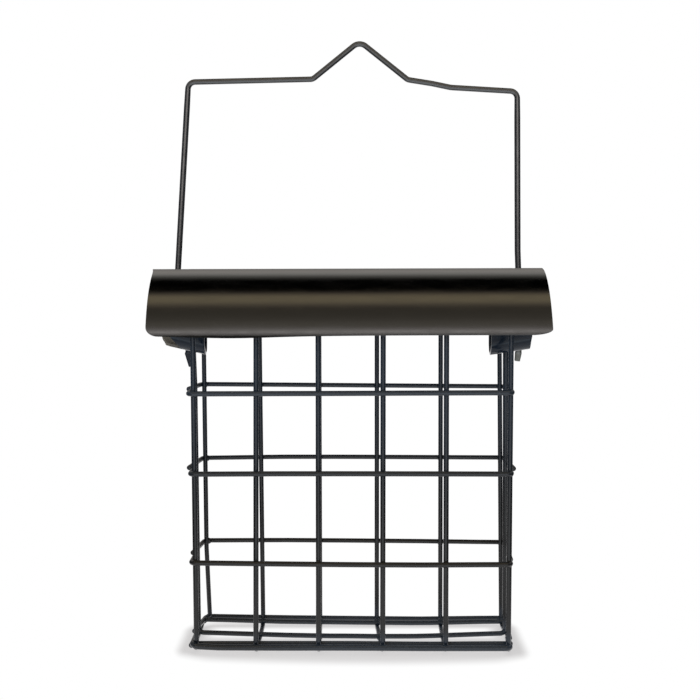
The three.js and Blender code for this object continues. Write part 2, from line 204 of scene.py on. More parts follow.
def rising(value, low, high, out_low=0.0, out_high=1.0):
    """Passes smoothly from one level to another as the value passes from low to high."""
    node = node_after(value, "ShaderNodeMapRange")
    node.interpolation_type = "SMOOTHSTEP"
    feed(value, node.inputs["Value"])
    feed(low, node.inputs["From Min"])
    feed(high, node.inputs["From Max"])
    feed(out_low, node.inputs["To Min"])
    feed(out_high, node.inputs["To Max"])
    return node.outputs["Result"]


def falling(value, low, high, top=1.0):
    return rising(value, low, high, top, 0.0)


def blend(share, a, b):
    """Colour a where the share is 0, and colour b where it is 1."""
    node = node_after(share, "ShaderNodeMix")
    node.data_type = "RGBA"
    feed(share, node.inputs["Factor"])
    feed(a, node.inputs[6])
    feed(b, node.inputs[7])
    return node.outputs[2]


def grain(coords, scale, detail, rough, stretch=None):
    node = node_after(coords, "ShaderNodeTexNoise")
    feed(scale, node.inputs["Scale"])
    feed(detail, node.inputs["Detail"])
    feed(rough, node.inputs["Roughness"])
    if stretch:
        drawn = node_after(coords, "ShaderNodeMapping")
        drawn.inputs["Scale"].default_value = stretch
        feed(coords, drawn.inputs["Vector"])
        coords = drawn.outputs["Vector"]
    feed(coords, node.inputs["Vector"])
    return node.outputs["Fac"]


def bumped(height, strength, depth, under=None):
    node = node_after(height, "ShaderNodeBump")
    feed(height, node.inputs["Height"])
    feed(strength, node.inputs["Strength"])
    feed(depth, node.inputs["Distance"])
    if under:
        feed(under, node.inputs["Normal"])
    return node.outputs["Normal"]


def emptied(owner, output):
    """The cleared node tree of a material or world, and the surface socket of its output."""
    owner.use_nodes = True
    tree = owner.node_tree
    tree.nodes.clear()
    return tree, tree.nodes.new(output).inputs["Surface"]


def places(tree, kind="Object"):
    """Coordinates, whole and along each axis. Those of an object are in metres."""
    coords = tree.nodes.new("ShaderNodeTexCoord").outputs[kind]
    apart = tree.nodes.new("ShaderNodeSeparateXYZ")
    feed(coords, apart.inputs[0])
    return coords, *apart.outputs


def shader(tree, kind, colour, strength=None):
    node = tree.nodes.new(kind)
    feed(colour, node.inputs["Color"])
    if strength is not None:
        feed(strength, node.inputs["Strength"])
    return node.outputs[0]


def either(share, first, second):
    """The first shader where the share is 0, and the second where it is 1."""
    node = node_after(share, "ShaderNodeMixShader")
    for value, socket in zip((share, first, second), node.inputs):
        feed(value, socket)
    return node.outputs[0]


DUST = (0.16, 0.155, 0.15)
# Edges wear from this sharpness on
WEAR_FROM, WEAR_OVER = 0.64, 0.09


def painted(name, deep, pale, rough, ior, peel, worn, dust, streaks=None, local=None):
    """A sprayed or powder coat: two close tones, orange peel, a fine grain, rubbed spots and dust.

    local(colour, x, y, z) gives the colour, the gloss and the added roughness where places differ.
    """
    mat = bpy.data.materials.new(name)
    tree, surface = emptied(mat, "ShaderNodeOutputMaterial")
    coat = tree.nodes.new("ShaderNodeBsdfPrincipled")
    coords, *place = places(tree)
    tones = rising(grain(coords, scale=95.0, detail=4.0, rough=0.6), 0.36, 0.66)
    colour = blend(tones, deep, pale)
    specks = grain(coords, scale=1500.0, detail=2.0, rough=0.7)
    colour = blend(rising(specks, 0.7, 0.8, out_high=dust), colour, DUST)
    ridge = tree.nodes.new("ShaderNodeNewGeometry").outputs["Pointiness"]
    ridge = rising(ridge, WEAR_FROM, WEAR_FROM + WEAR_OVER)
    rub = rising(grain(coords, scale=260.0, detail=5.0, rough=0.75), 0.5, 0.72, out_high=0.75)
    colour = blend(times(ridge, rub), colour, worn)
    haze = grain(coords, scale=330.0, detail=3.0, rough=0.6, stretch=streaks)
    haze = rising(haze, 0.3, 0.7, rough - 0.035, rough + 0.045)
    if local:
        colour, gloss, added = local(colour, *place)
        if gloss:
            feed(gloss, coat.inputs["Specular IOR Level"])
        if added:
            haze = plus(haze, added)
    feed(colour, coat.inputs["Base Color"])
    feed(haze, coat.inputs["Roughness"])
    feed(ior, coat.inputs["IOR"])
    wave = bumped(grain(coords, scale=620.0, detail=2.0, rough=0.45), peel, 0.22 * MM)
    fine = bumped(grain(coords, scale=2300.0, detail=2.0, rough=0.5), peel * 0.6, 0.07 * MM, wave)
    feed(fine, coat.inputs["Normal"])
    feed(coat.outputs[0], surface)
    return mat


# Where each coat differs, in metres
SLOT_MIDDLE = 0.0733


def cage_painted_reflection(colour, x, _, z):
    """A painted bluish reflection: the coat is bluer high on the cage, and round its base towards
    the right.
    """
    high = rising(z, 0.05, 0.125)
    base = times(falling(z, 0.006, 0.012), rising(x, -0.06, 0.0, 0.3, 0.9))
    return blend(larger(high, base), colour, (0.0165, 0.0255, 0.0385)), None, None


def bail_places(colour, x, _, z):
    """Pinching the right foot flat rubbed its coat thin. The left foot is dark and dull."""
    right = times(falling(z, 0.1265, 0.1325), rising(x, 0.0, 0.01))
    left = times(falling(x, -0.01, 0.0), falling(z, 0.131, 0.134))
    colour = blend(right, colour, (0.13, 0.14, 0.12))
    return blend(left, colour, (0.012, 0.018, 0.028)), rising(left, 0.0, 1.0, 0.5, 0.12), None


def bracket_painted_light(colour, x, y, _):
    """Painted light: the left bracket's back wall is paler and browner, standing for the light that
    falls inside the channel.
    """
    wall = times(rising(y, -0.0008, 0.0004), falling(x, -0.0755, -0.0735))
    return blend(wall, colour, (0.14, 0.13, 0.11)), None, None


def roof_places(colour, x, y, z):
    """The cut lower edge has hardly any gloss, and the bail has rubbed it off round both slots."""
    slots = falling(absolute(minus(absolute(x), SLOT_MIDDLE)), 0.0035, 0.0085)
    rubbed = times(slots, falling(absolute(y), 0.003, 0.008, top=0.12))
    return colour, rising(z, 0.1374, 0.1382, 0.06, 0.5), rubbed


cage_coat = painted(
    "cage_coat", deep=(0.003, 0.0032, 0.0034), pale=(0.0055, 0.0058, 0.006), rough=0.27, ior=1.48,
    peel=0.012, worn=(0.05, 0.05, 0.052), dust=0.05, local=cage_painted_reflection,
)
bail_coat = painted(
    "bail_coat", deep=(0.018, 0.0195, 0.021), pale=(0.027, 0.029, 0.031), rough=0.17, ior=1.85,
    peel=0.012, worn=(0.09, 0.085, 0.08), dust=0.06, local=bail_places,
)
bracket_coat = painted(
    "bracket_coat", deep=(0.0045, 0.0115, 0.023), pale=(0.0065, 0.0155, 0.03), rough=0.16, ior=1.36,
    peel=0.12, worn=(0.08, 0.075, 0.07), dust=0.04, local=bracket_painted_light,
)
roof_coat = painted(
    "roof_coat", deep=(0.0002, 0.0002, 0.0001), pale=(0.0007, 0.0006, 0.0005), rough=0.15, ior=1.75,
    peel=0.02, worn=(0.05, 0.045, 0.04), dust=0.02, streaks=(0.25, 1.0, 1.0), local=roof_places,
)


# Meshes
def new_mesh(name, verts, faces):
    mesh = bpy.data.meshes.new(name)
    mesh.from_pydata([tuple(v * MM) for v in verts], [], faces)
    mesh.update()
    return mesh


def shown(name, mesh):
    obj = bpy.data.objects.new(name, mesh)
    bpy.context.scene.collection.objects.link(obj)
    return obj


def piece(name, mesh, coat, body, slot, *nodes):
    """A piece that rides on a body and stands for the nodes that are named."""
    mesh.materials.append(coat)
    mesh.shade_smooth()
    obj = shown(name, mesh)
    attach(obj, body)
    if nodes:
        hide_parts(*nodes)
    return obj


# Wires
BEND_STEP, LONGEST_RUN, SHORTEST_RUN = math.radians(7.5), 9.0, 1e-4
# How the cut ends are eased: (distance from the end, share of the full size)
EASED = ((0.3, 1.0), (0.12, 0.95), (0.02, 0.8))
END_CLEAR = 0.5


def stations(corners):
    """Points along straight runs joined by round bends. A corner is (point, bend radius)."""
    points = []
    for i, (at, bend) in enumerate(corners):
        if not bend:
            points.append(at.copy())
            continue
        into = (at - corners[i - 1][0]).normalized()
        onward = (corners[i + 1][0] - at).normalized()
        turn = into.angle(onward)
        start = at - into * bend * math.tan(turn / 2)
        inward = (onward - into * math.cos(turn)).normalized()
        count = max(3, math.ceil(turn / BEND_STEP))
        for k in range(count + 1):
            a = turn * k / count
            points.append(start + into * bend * math.sin(a) + inward * bend * (1 - math.cos(a)))
    full = [points[0]]
    for a, b in zip(points, points[1:]):
        gap = (b - a).length
        if gap > SHORTEST_RUN:
            runs = math.ceil(gap / LONGEST_RUN)
            full += [a.lerp(b, k / runs) for k in range(1, runs + 1)]
    return full


def wire(corners, side, shape, sides=20, sag=None):
    """A swept wire with eased ends.

    shape(point) gives half its width, half its thickness and its squareness, 1 where it is round.
    """
    path = stations(corners)
    if sag:
        path = [point + sag(point) for point in path]
    head, tail = (path[1] - path[0]).normalized(), (path[-1] - path[-2]).normalized()
    middle = [p for p in path[1:-1] if min((p - path[0]).length, (p - path[-1]).length) > END_CLEAR]
    line = [path[0] + head * back for back, _ in reversed(EASED)] + middle
    line += [path[-1] - tail * back for back, _ in EASED]
    shares = [share for _, share in EASED]
    sizes = shares[::-1] + [1.0] * len(middle) + shares
    verts, faces = [], []
    for i, point in enumerate(line):
        along = (line[min(i + 1, len(line) - 1)] - line[max(i - 1, 0)]).normalized()
        if i < len(EASED):
            along = head
        elif i >= len(line) - len(EASED):
            along = tail
        cross = (side - along * side.dot(along)).normalized()
        out = cross.cross(along)
        wide, thick, square = shape(point)
        for k in range(sides):
            a = 2 * math.pi * k / sides
            c, s = (math.copysign(abs(v) ** square, v) for v in (math.cos(a), math.sin(a)))
            verts.append(point + (out * c * wide + cross * s * thick) * sizes[i])
    for i in range(len(line) - 1):
        for k in range(sides):
            a, b = i * sides + k, i * sides + (k + 1) % sides
            faces.append((a + sides, b + sides, b, a))
    first, last, base = len(verts), len(verts) + 1, (len(line) - 1) * sides
    verts += [path[0] + head * EASED[-1][0], path[-1] - tail * EASED[-1][0]]
    for k in range(sides):
        after = (k + 1) % sides
        faces += [(k, after, first), (base + after, base + k, last)]
    return verts, faces


def cage_wire(node, corners, side, sag=None, more=lambda at: 0.0):
    def shape(at):
        half = CAGE_R + COAT + more(at) - THINNING * at.y
        return half, half, 1.0

    verts, faces = wire(corners, side, shape, sag=sag)
    mesh = new_mesh(node + "_wire", [v + vec(SHIFT, 0, 0) for v in verts], faces)
    piece(node + "_wire", mesh, cage_coat, "cage", "cage_coat", node)


def leg_x(i, front, z):
    """Where a hoop's leg stands at a height."""
    foot = (FRONT_FOOT if front else BACK_FOOT)[i]
    head = (FRONT_HEAD if front else BACK_HEAD)[i]
    return i * HOOP_PITCH - END_X + STRAY * (foot + (head - foot) * (z - CAGE_R) / RIM_Z)


def corner_x(left, front, z):
    """A ring's corner, sunk into the weld at the end hoop's leg."""
    out = CORNER_OUT[left, front]
    if left and front and z == RING_Z["upper"]:
        out = UPPER_CORNER_OUT
    return leg_x(0, front, z) - out if left else leg_x(HOOPS - 1, front, z) + out


def stirrup_x(left, z):
    foot, head = STIRRUP_OUT[left]
    reach = END_X + foot + (head - foot) * (z - FLOOR_Z) / (STIRRUP_TOP - FLOOR_Z)
    return -reach if left else reach


def sag_at(level, front, x):
    return float(np.interp(x, SAG_X, SAGS[level, front]))


def sag_of(level, front):
    """How far a wire of the cage is off its true place, at each point along it."""
    stray = RAIL_STRAY[front] if level == "rail" else STRAIGHT

    def sag(point):
        up = sag_at(level, front, point.x)
        if front and level == "base" and point.x < TURN_FROM:
            up += TURN_UP * ((point.x - TURN_FROM) / TURN_OVER) ** 2
        if not front and point.x > ARM_X:
            start = RING_Y - BACK_BEND
            along = min(1.0, max(0.0, (start - point.y) / (start - ARM_END)))
            up -= ARM_DROOP.get(level, 0.0) * along * along
        return vec(0, float(np.interp(point.x, SAG_X, stray)), up)

    return sag


# Cage
for i in range(HOOPS):
    top = RIM_Z + CAGE_R
    front_foot, back_foot = leg_x(i, True, CAGE_R), leg_x(i, False, CAGE_R)
    corners = [
        (vec(leg_x(i, True, top), -LEG_Y, top), 0),
        (vec(front_foot, -LEG_Y, CAGE_R + (FRONT_FOOT_UP if i == 0 else 0.0)), HOOP_BEND),
        (vec(back_foot, LEG_Y, CAGE_R), HOOP_BEND),
        (vec(leg_x(i, False, top), LEG_Y, top), 0),
    ]
    if i == 0:
        corners[2] = (vec(*KICKED_FOOT), KICKED_BEND)
        corners[3:3] = [(vec(*at), bend) for at, bend in KNEE]
    corners[2:2] = [(vec(x, y, CAGE_R), BOWED_BEND) for x, y in BOWED.get(i, ())]
    cage_wire(f"hoop_{i + 1}", corners, vec(HOOP_DEPTH, front_foot - back_foot, 0).normalized())

UP, BACK = vec(0, 0, 1), vec(0, 1, 0)
for level, z in RING_Z.items():
    left, right = corner_x(True, True, z), corner_x(False, True, z)
    cage_wire(
        f"{level}_ring_front",
        [
            (vec(left, -FRONT_END, z), 0),
            (vec(left, -RING_Y + PRESS, z), FRONT_BEND),
            (vec(right, -RING_Y + PRESS, z), FRONT_BEND),
            (vec(right + FRONT_SPLAY, -FRONT_END, z), 0),
        ],
        UP,
        sag_of(level, True),
        lambda at: BASE_MORE if at.z < BASE_MORE_Z else 0.0,
    )
    (left_x, left_y), (right_x, right_y) = BACK_ENDS[level]
    cage_wire(
        f"{level}_ring_back",
        [
            (vec(left_x, left_y, z), 0),
            (vec(corner_x(True, False, z), RING_Y - PRESS, z), BACK_BEND),
            (vec(corner_x(False, False, z), RING_Y - PRESS, z), BACK_BEND),
            (vec(right_x, right_y, z), 0),
        ],
        UP,
        sag_of(level, False),
    )

corners = [
    (vec(corner_x(left, front, RIM_Z), -RING_Y if front else RING_Y, RIM_Z), RIM_BEND)
    for left, front in ((True, False), (True, True), (False, True), (False, False))
]
first, last = vec(-RIM_GAP, RING_Y, RIM_Z), vec(RIM_GAP, RING_Y, RIM_Z)
cage_wire("top_rim", [(first, 0), *corners, (last, 0)], UP)
for name, (y, left, right) in RAILS.items():
    corners = [(vec(left, y, RAIL_Z), 0), (vec(right, y, RAIL_Z), 0)]
    cage_wire(f"base_rail_{name}", corners, UP, sag_of("rail", y < 0))
cage_wire(
    "centre_stirrup",
    [
        (vec(stirrup_x(True, STIRRUP_TOP), 0, STIRRUP_TOP), 0),
        (vec(*STIRRUP_KNEE), STIRRUP_KNEE_BEND),
        (vec(stirrup_x(True, FLOOR_Z), 0, FLOOR_Z), STIRRUP_BEND),
        (vec(0, -BOW, FLOOR_Z), BOW_BEND),
        (vec(stirrup_x(False, FLOOR_Z), 0, FLOOR_Z), STIRRUP_BEND),
        (vec(stirrup_x(False, STIRRUP_TOP), 0, STIRRUP_TOP), 0),
    ],
    BACK,
    sag_of("floor", True),
    lambda at: LEG_MORE if at.x > LEG_MORE_X and at.z > LEG_MORE_Z else 0.0,
)

# Weld beads
# Half their sizes along, across and up
ON_RING, ON_BASE_RING = (1.45, 0.9, 1.45), (1.45, 0.9, 1.25)
ON_RAIL, ON_STIRRUP_RUN, ON_STIRRUP_LEG = (1.4, 1.3, 1.3), (1.4, 1.4, 0.9), (0.95, 1.4, 1.35)
AT_BRACKET, RAIL_END, RIM_BUTT = (1.7, 1.7, 1.0), (1.0, 1.25, 1.15), (1.0, 1.2, 1.2)
BEAD_ROWS, BEAD_SIDES, UNEVEN, LUMPS = 10, 16, 0.1, 1.7
# The welds sit this far in from the middle between two wires, or below it
RING_WELD_IN, RAIL_WELD_IN, RIM_WELD_LOW = 0.1, 0.85, 0.3
# Those on the stirrup's legs sit this far back, and those at its heads this far up
STIRRUP_WELD_Y, HEAD_WELD_UP = 0.3, 0.2
# Where the end hoops' bowed floor runs move the welds on the rails
RAIL_WELD_MOVED = {0: -2.4, HOOPS - 1: 0.5}


def bead(verts, faces, centre, reach, seed):
    """A lumpy nugget of weld and pooled coat: an ellipsoid with its own unevenness."""
    centre = centre + vec(SHIFT, 0, 0)
    rows = []
    for r in range(BEAD_ROWS + 1):
        lat = math.pi * (r / BEAD_ROWS - 0.5)
        row = []
        for k in range(BEAD_SIDES if 0 < r < BEAD_ROWS else 1):
            lon = 2 * math.pi * k / BEAD_SIDES
            d = vec(math.cos(lat) * math.cos(lon), math.cos(lat) * math.sin(lon), math.sin(lat))
            swell = 1 + UNEVEN * noise.noise(d * LUMPS + vec(seed * 3.1, seed * 1.7, 0))
            row.append(len(verts))
            verts.append(centre + vec(d.x * reach[0], d.y * reach[1], d.z * reach[2]) * swell)
        rows.append(row)
    for low, high in zip(rows, rows[1:]):
        for k in range(BEAD_SIDES):
            j = (k + 1) % BEAD_SIDES
            if len(low) == 1:
                faces.append((low[0], high[j], high[k]))
            elif len(high) == 1:
                faces.append((low[k], low[j], high[0]))
            else:
                faces.append((low[k], low[j], high[j], high[k]))


def welds():
    """Where the welds are, and half their sizes."""
    for i in range(HOOPS):
        for level, z in [*RING_Z.items(), ("rim", RIM_Z - RIM_WELD_LOW)]:
            for front, sign in ((True, -1), (False, 1)):
                at = vec(leg_x(i, front, z), sign * (LEG_Y + PITCH / 2 - RING_WELD_IN), z)
                if level != "rim":
                    at.z += sag_at(level, front, at.x)
                yield at, ON_BASE_RING if level == "base" else ON_RING
        feet = leg_x(i, True, 0), leg_x(i, False, 0)
        for y in (-RAIL_Y, RAIL_Y):
            x = feet[0] + (feet[1] - feet[0]) * (y + LEG_Y) / HOOP_DEPTH
            x += RAIL_WELD_MOVED.get(i, 0.0)
            yield vec(x, y + math.copysign(RAIL_WELD_IN, y), RAIL_Z - RAIL_WELD_IN), ON_RAIL
        x = BOWED[i][0][0] if i in BOWED else sum(feet) / 2
        yield vec(x, -BOW * (1 - abs(x) / END_X), CAGE_R + PITCH / 2), ON_STIRRUP_RUN
    for left in (True, False):
        for level, z in RING_Z.items():
            end_x, end_y = BACK_ENDS[level][0 if left else 1]
            back = corner_x(left, False, z)
            ring = back + (end_x - back) * RING_Y / (RING_Y - end_y)
            up = sag_at(level, False, min(SAG_X) if left else max(SAG_X))
            yield vec((ring + stirrup_x(left, z)) / 2, STIRRUP_WELD_Y, z + up), ON_STIRRUP_LEG
        yield vec(stirrup_x(left, BRACKET_Z), 0, BRACKET_Z + HEAD_WELD_UP), AT_BRACKET
    for y, *ends in RAILS.values():
        for x in ends:
            at = vec(x, y, RAIL_Z)
            yield at + sag_of("rail", y < 0)(at), RAIL_END
    yield vec(0, RING_Y, RIM_Z), RIM_BUTT


verts, faces = [], []
for seed, (centre, reach) in enumerate(welds(), 1):
    bead(verts, faces, centre, reach, seed)
piece("weld_beads", new_mesh("weld_beads", verts, faces), cage_coat, "cage", "cage_coat")

# Bail
# Its bends, from the left foot over the peak to the right foot: (along, height, bend radius)
BAIL = [
    (-70.65, BRACKET_Z - FOOT_DROP[0], 0),
    (-76.4, ROOF_TOP - 6, 24),
    (-70.85, THROAT_Z - 1.95, 3.2),
    (-16.8, THROAT_Z - 0.7, 3),
    (3.55, THROAT_Z + 15.6, 4.3),
    (24.5, THROAT_Z - 0.9, 3),
    (35.0, THROAT_Z - 2.55, 12),
    (43.2, THROAT_Z - 4.25, 12),
    (72.15, THROAT_Z - 5.95, 3.2),
    (72.9, ROOF_TOP + 8, 90),
    (74.5, BRACKET_Z + 5.6, 14),
    (73.1, BRACKET_Z - FOOT_DROP[1], 0),
]
# The feet are pinched from just above this height down, over a short length
PINCH_TOP, PINCH_ABOVE, PINCH_OVER = BRACKET_Z - 0.5, 0.4, 1.3
# Their widths at the top, and how much narrower they get down to their tips
LEFT_FOOT, RIGHT_FOOT, FOOT_TIP = (3.9, 1.9), (3.1, 0.7), 0.5
FOOT_HALF_THICK, FOOT_SQUARE = 0.75, 0.5
# The bail's arms are drawn a little thinner than its legs
DRAWN_LEG, DRAWN_ARM, ARMS_Z = 0.12, 0.03, THROAT_Z - 12
# Near the feet, where the wire changes shape, its points lie closer: (first, past the drop, step)
FOOT_POINTS = (0.6, 2.2, 0.45)


def pinched(point):
    """Round above the brackets, and pinched flat below them."""
    left = point.x < 0
    drop, (top_width, narrowing) = (FOOT_DROP[0], LEFT_FOOT) if left else (FOOT_DROP[1], RIGHT_FOOT)
    flat = min(1.0, max(0.0, (PINCH_TOP + PINCH_ABOVE - point.z) / PINCH_OVER))
    flat = flat * flat * (3 - 2 * flat)
    fall = min(1.0, max(0.0, (PINCH_TOP - point.z) / (drop - FOOT_TIP)))
    half = (top_width - narrowing * fall) / 2
    full = BAIL_R + (DRAWN_LEG if point.z < ARMS_Z else DRAWN_ARM)
    thick = full + (FOOT_HALF_THICK - full) * flat
    return full + (half - full) * flat, thick, 1.0 - FOOT_SQUARE * flat


def foot_points(foot, onward, drop):
    first, past, step = FOOT_POINTS
    along = (onward - foot).normalized()
    return [(foot + along * d, 0) for d in np.arange(first, drop + past, step)]


corners = [(vec(x + SHIFT, 0, z), bend) for x, z, bend in BAIL]
left_points = foot_points(corners[0][0], corners[1][0], FOOT_DROP[0])
right_points = foot_points(corners[-1][0], corners[-2][0], FOOT_DROP[1])
corners = corners[:1] + left_points + corners[1:-1] + right_points[::-1] + corners[-1:]
mesh = new_mesh("bail_wire", *wire(corners, BACK, pinched, sides=24))
bail = piece("bail_wire", mesh, bail_coat, "cage", "bail_coat", "bail")
# The roof's gloss hardly shows so thin a wire
bail.visible_glossy = False

# Sheets
EDGE_ROUND, SHARP_FROM = 0.3, math.radians(50)


def sheet(name, skin, thick, coat, body, slot, node):
    """Gives a curved skin its thickness inwards, and rounds its edges."""
    mesh = new_mesh(name + "_skin", *skin)
    obj = shown(name + "_skin", mesh)
    solid = obj.modifiers.new("thickness", "SOLIDIFY")
    solid.thickness = thick * MM
    solid.offset = -1
    solid.use_even_offset = True
    soft = obj.modifiers.new("edges", "BEVEL")
    soft.width = EDGE_ROUND * MM
    soft.segments = 3
    soft.limit_method = "ANGLE"
    soft.angle_limit = SHARP_FROM
    graph = bpy.context.evaluated_depsgraph_get()
    made = bpy.data.meshes.new_from_object(obj.evaluated_get(graph))
    bpy.data.objects.remove(obj)
    bpy.data.meshes.remove(mesh)
    made.name = name
    piece(name, made, coat, body, slot, node)


# Roof
# It is drawn flat, as (along, across), and rolled round the roof's axis afterwards
HALF = ROOF_LENGTH / 2
HALF_ARC = ROOF_R * math.acos(EDGE_SHORT / ROOF_R)
SLOT_R = BAIL_R + 0.45
SLOTS = ((-76.75, -69.43), (71.49, 75.45))
# A box of finer mesh stands round each slot
BOX, BOX_PAST = 3.4, 1.8
# The corners are rounded over these lengths, by these heights
LEFT_CORNER, RIGHT_CORNER = (5.0, 4.0), (8.5, 2.5)
# The lower edge has two shallow sags on the left: (middle, reach, depth)
EDGE_SAGS = ((-50, 23, 0.92), (-20, 25, 0.15))
# The sheet slopes up towards the right by this share, about this place
TILT, TILT_X = 0.0031, -25
# Its mesh: columns up to, across and between the boxes and at the ends, rows from the ridge down
COLUMNS, END_COLUMNS, RIGHT_FINE, LEAST_COLUMN = (2, 9, 30, 9), (9, 14), 9.5, 0.05
UPPER_ROWS, SIDE_ROWS, EDGE_ROWS, EDGE_BAND, EDGE_CLOSING = 9, 17, 8, 7.0, 1.3
# The rings in a box, as shares of the way from the box to the slot
RINGS = (0.0, 0.22, 0.45, 0.68, 0.86, 1.0)
RAY_STEP, CLOSE = 0.01, 1e-6


def edge_rise(x):
    """How far the lower edge rises towards the ends, less its sags."""
    sag = sum(deep * math.exp(-(((x - at) / reach) ** 2)) for at, reach, deep in EDGE_SAGS)
    rise = 0.0
    for out, (length, height) in ((x, RIGHT_CORNER), (-x, LEFT_CORNER)):
        share = max(0.0, (out - (HALF - length)) / length)
        rise += height * (1 - math.sqrt(max(0, 1 - share**2)))
    return rise - sag


def eased(low, high, count):
    return [low + (high - low) * math.sin(math.pi / 2 * k / count) for k in range(count + 1)]


def rolled(x, s):
    """The sheet sits a little skew, its right end higher, and its ends aren't cut quite square."""
    a = s / ROOF_R
    low, near = (s / HALF_ARC) ** 2, (x / HALF) ** 10
    if x > 0:
        slant = 1.2 * low - 0.45
    else:
        # The left end juts out a little at the ridge
        slant = 0.45 - 0.75 * low - 1.2 * math.exp(-((s / 6) ** 2))
    height = ROOF_AXIS + ROOF_R * math.cos(a) + TILT * (x - TILT_X)
    return vec(x + slant * near, -ROOF_R * math.sin(a), height)


def slot_edge(low, high, x, s, stretch):
    """A slot's outline, met by a ray from its middle towards a place on the box round it."""
    middle = (low + high) / 2
    a = math.atan2(s, (x - middle) * stretch)
    reach = RAY_STEP
    while True:
        u, v = middle + math.cos(a) * reach, math.sin(a) * reach
        if math.hypot(max(low + SLOT_R - u, 0, u - high + SLOT_R), v) >= SLOT_R:
            return u, v
        reach += RAY_STEP


def roof_skin():
    """The roof's outer skin, with a hole for each slot."""
    verts, faces, index = [], [], {}

    def at(x, s):
        key = (round(x, 4), round(s, 4))
        if key not in index:
            index[key] = len(verts)
            verts.append(rolled(x, s))
        return index[key]

    boxes = [(low - BOX_PAST, high + BOX_PAST) for low, high in SLOTS]
    xs = [-v for v in reversed(eased(HALF - LEFT_CORNER[0], HALF, END_COLUMNS[0]))]
    for stop, count in zip(sum(boxes, ()), COLUMNS):
        xs += list(np.linspace(xs[-1], stop, count))[1:]
    ending = eased(HALF - RIGHT_FINE, HALF, END_COLUMNS[1])
    xs += [v for v in ending if v > xs[-1] + LEAST_COLUMN]
    upper = list(np.linspace(-BOX, BOX, UPPER_ROWS))
    steps = list(np.linspace(BOX, HALF_ARC - EDGE_BAND, SIDE_ROWS))[1:]
    shares = [1 - (1 - k / EDGE_ROWS) ** EDGE_CLOSING for k in range(1, EDGE_ROWS + 1)]

    def rows(x):
        low = HALF_ARC - edge_rise(x)
        down = steps + [steps[-1] + (low - steps[-1]) * t for t in shares]
        return [-s for s in reversed(down)] + upper + down

    columns = [rows(x) for x in xs]
    first = len(steps) + len(shares)
    for c in range(len(xs) - 1):
        boxed = any(low - CLOSE <= xs[c] and xs[c + 1] <= high + CLOSE for low, high in boxes)
        a, b = columns[c], columns[c + 1]
        for r in range(len(a) - 1):
            if not (boxed and first <= r < first + len(upper) - 1):
                faces.append((at(xs[c], a[r]), at(xs[c], a[r + 1]),
                              at(xs[c + 1], b[r + 1]), at(xs[c + 1], b[r])))
    # Rings that pass from the box round a slot to the slot's own outline
    for slot, (left, right) in zip(SLOTS, boxes):
        grid = [x for x in xs if left - CLOSE <= x <= right + CLOSE]
        outline = [(x, -BOX) for x in grid] + [(right, s) for s in upper[1:]]
        outline += [(x, BOX) for x in reversed(grid[:-1])] + [(left, s) for s in upper[-2:0:-1]]
        inner = [slot_edge(*slot, x, s, 2 * BOX / (right - left)) for x, s in outline]
        loops = [
            [at(x + (u - x) * t, s + (v - s) * t) for (x, s), (u, v) in zip(outline, inner)]
            for t in RINGS
        ]
        for one, two in zip(loops, loops[1:]):
            for k in range(len(outline)):
                j = (k + 1) % len(outline)
                faces.append((one[k], two[k], two[j], one[j]))
    return verts, faces


sheet("roof_sheet", roof_skin(), ROOF_SHEET, roof_coat, "roof_cover", "roof_coat", "roof")

# Hanger brackets
BRACKET_R, STRAIGHT_WALL = BRACKET_W / 2, BRACKET_H - BRACKET_W / 2
# The arc from a wall's top to the middle of the bracket's underside
FULL = STRAIGHT_WALL + BRACKET_R * math.pi / 2
# How far down the walls reach: (along, arc from the top)
LEFT_FRONT_WALL = [
    (-80.8, 1.0), (-79.6, 4.2), (-78.5, 6.4), (-77.9, 7.5), (-76.5, 8.8), (-75.1, 10.5),
    (-73.4, 13.1), (-71.9, FULL),
]
LEFT_BACK_WALL = [
    (-83.3, 7.8), (-83.1, 9.0), (-82.5, 10.7), (-81.3, 12.2), (-81.0, 14.3), (-80.0, 14.7),
    (-78.5, FULL),
]
RIGHT_WALL = [(79.0, FULL), (79.6, 13.8), (79.85, 12.0), (79.95, 10.0), (80.0, 6.0)]
# Their ends, their slope inwards, how low they hang, and their walls
BRACKETS = {
    "left": ((-83.3, -63.0), -0.23, 0.0, LEFT_FRONT_WALL, LEFT_BACK_WALL),
    "right": ((62.2, 80.0), 0.155, 0.9, RIGHT_WALL, RIGHT_WALL),
}
WALL_ROWS, WALL_COLUMNS = 30, 40


def bracket_skin(name):
    """A rolled channel that slopes inwards, with the outer lower corners of its walls cut round."""
    (first, last), slope, low_by, *walls = BRACKETS[name]
    centre = BRACKET_X[name] + SHIFT
    verts, faces, index = [], [], {}

    def at(x, s, wall):
        if s < STRAIGHT_WALL:
            y, z = wall * BRACKET_R, BRACKET_H - s
        else:
            a = (s - STRAIGHT_WALL) / BRACKET_R
            y, z = wall * BRACKET_R * math.cos(a), BRACKET_R * (1 - math.sin(a))
        key = (round(x, 4), round(y, 4), round(z, 4))
        if key not in index:
            index[key] = len(verts)
            verts.append(vec(x, y, z + BRACKET_Z - low_by + slope * (x - centre)))
        return index[key]

    for wall, edge in zip((-1, 1), walls):
        start = edge[0][0] if name == "left" else first
        columns = []
        for x in sorted({*np.linspace(first, last, WALL_COLUMNS), start}):
            if x >= start:
                end = float(np.interp(x, *zip(*edge)))
                columns.append([at(x, end * r / WALL_ROWS, wall) for r in range(WALL_ROWS + 1)])
        for one, two in zip(columns, columns[1:]):
            for r in range(WALL_ROWS):
                quad = (one[r], one[r + 1], two[r + 1], two[r])
                faces.append(quad if wall < 0 else quad[::-1])
    return verts, faces


for name in BRACKETS:
    sheet(f"bracket_{name}", bracket_skin(name), BRACKET_T, bracket_coat, "cage", "bracket_coat",
          f"hanger_bracket_{name}")
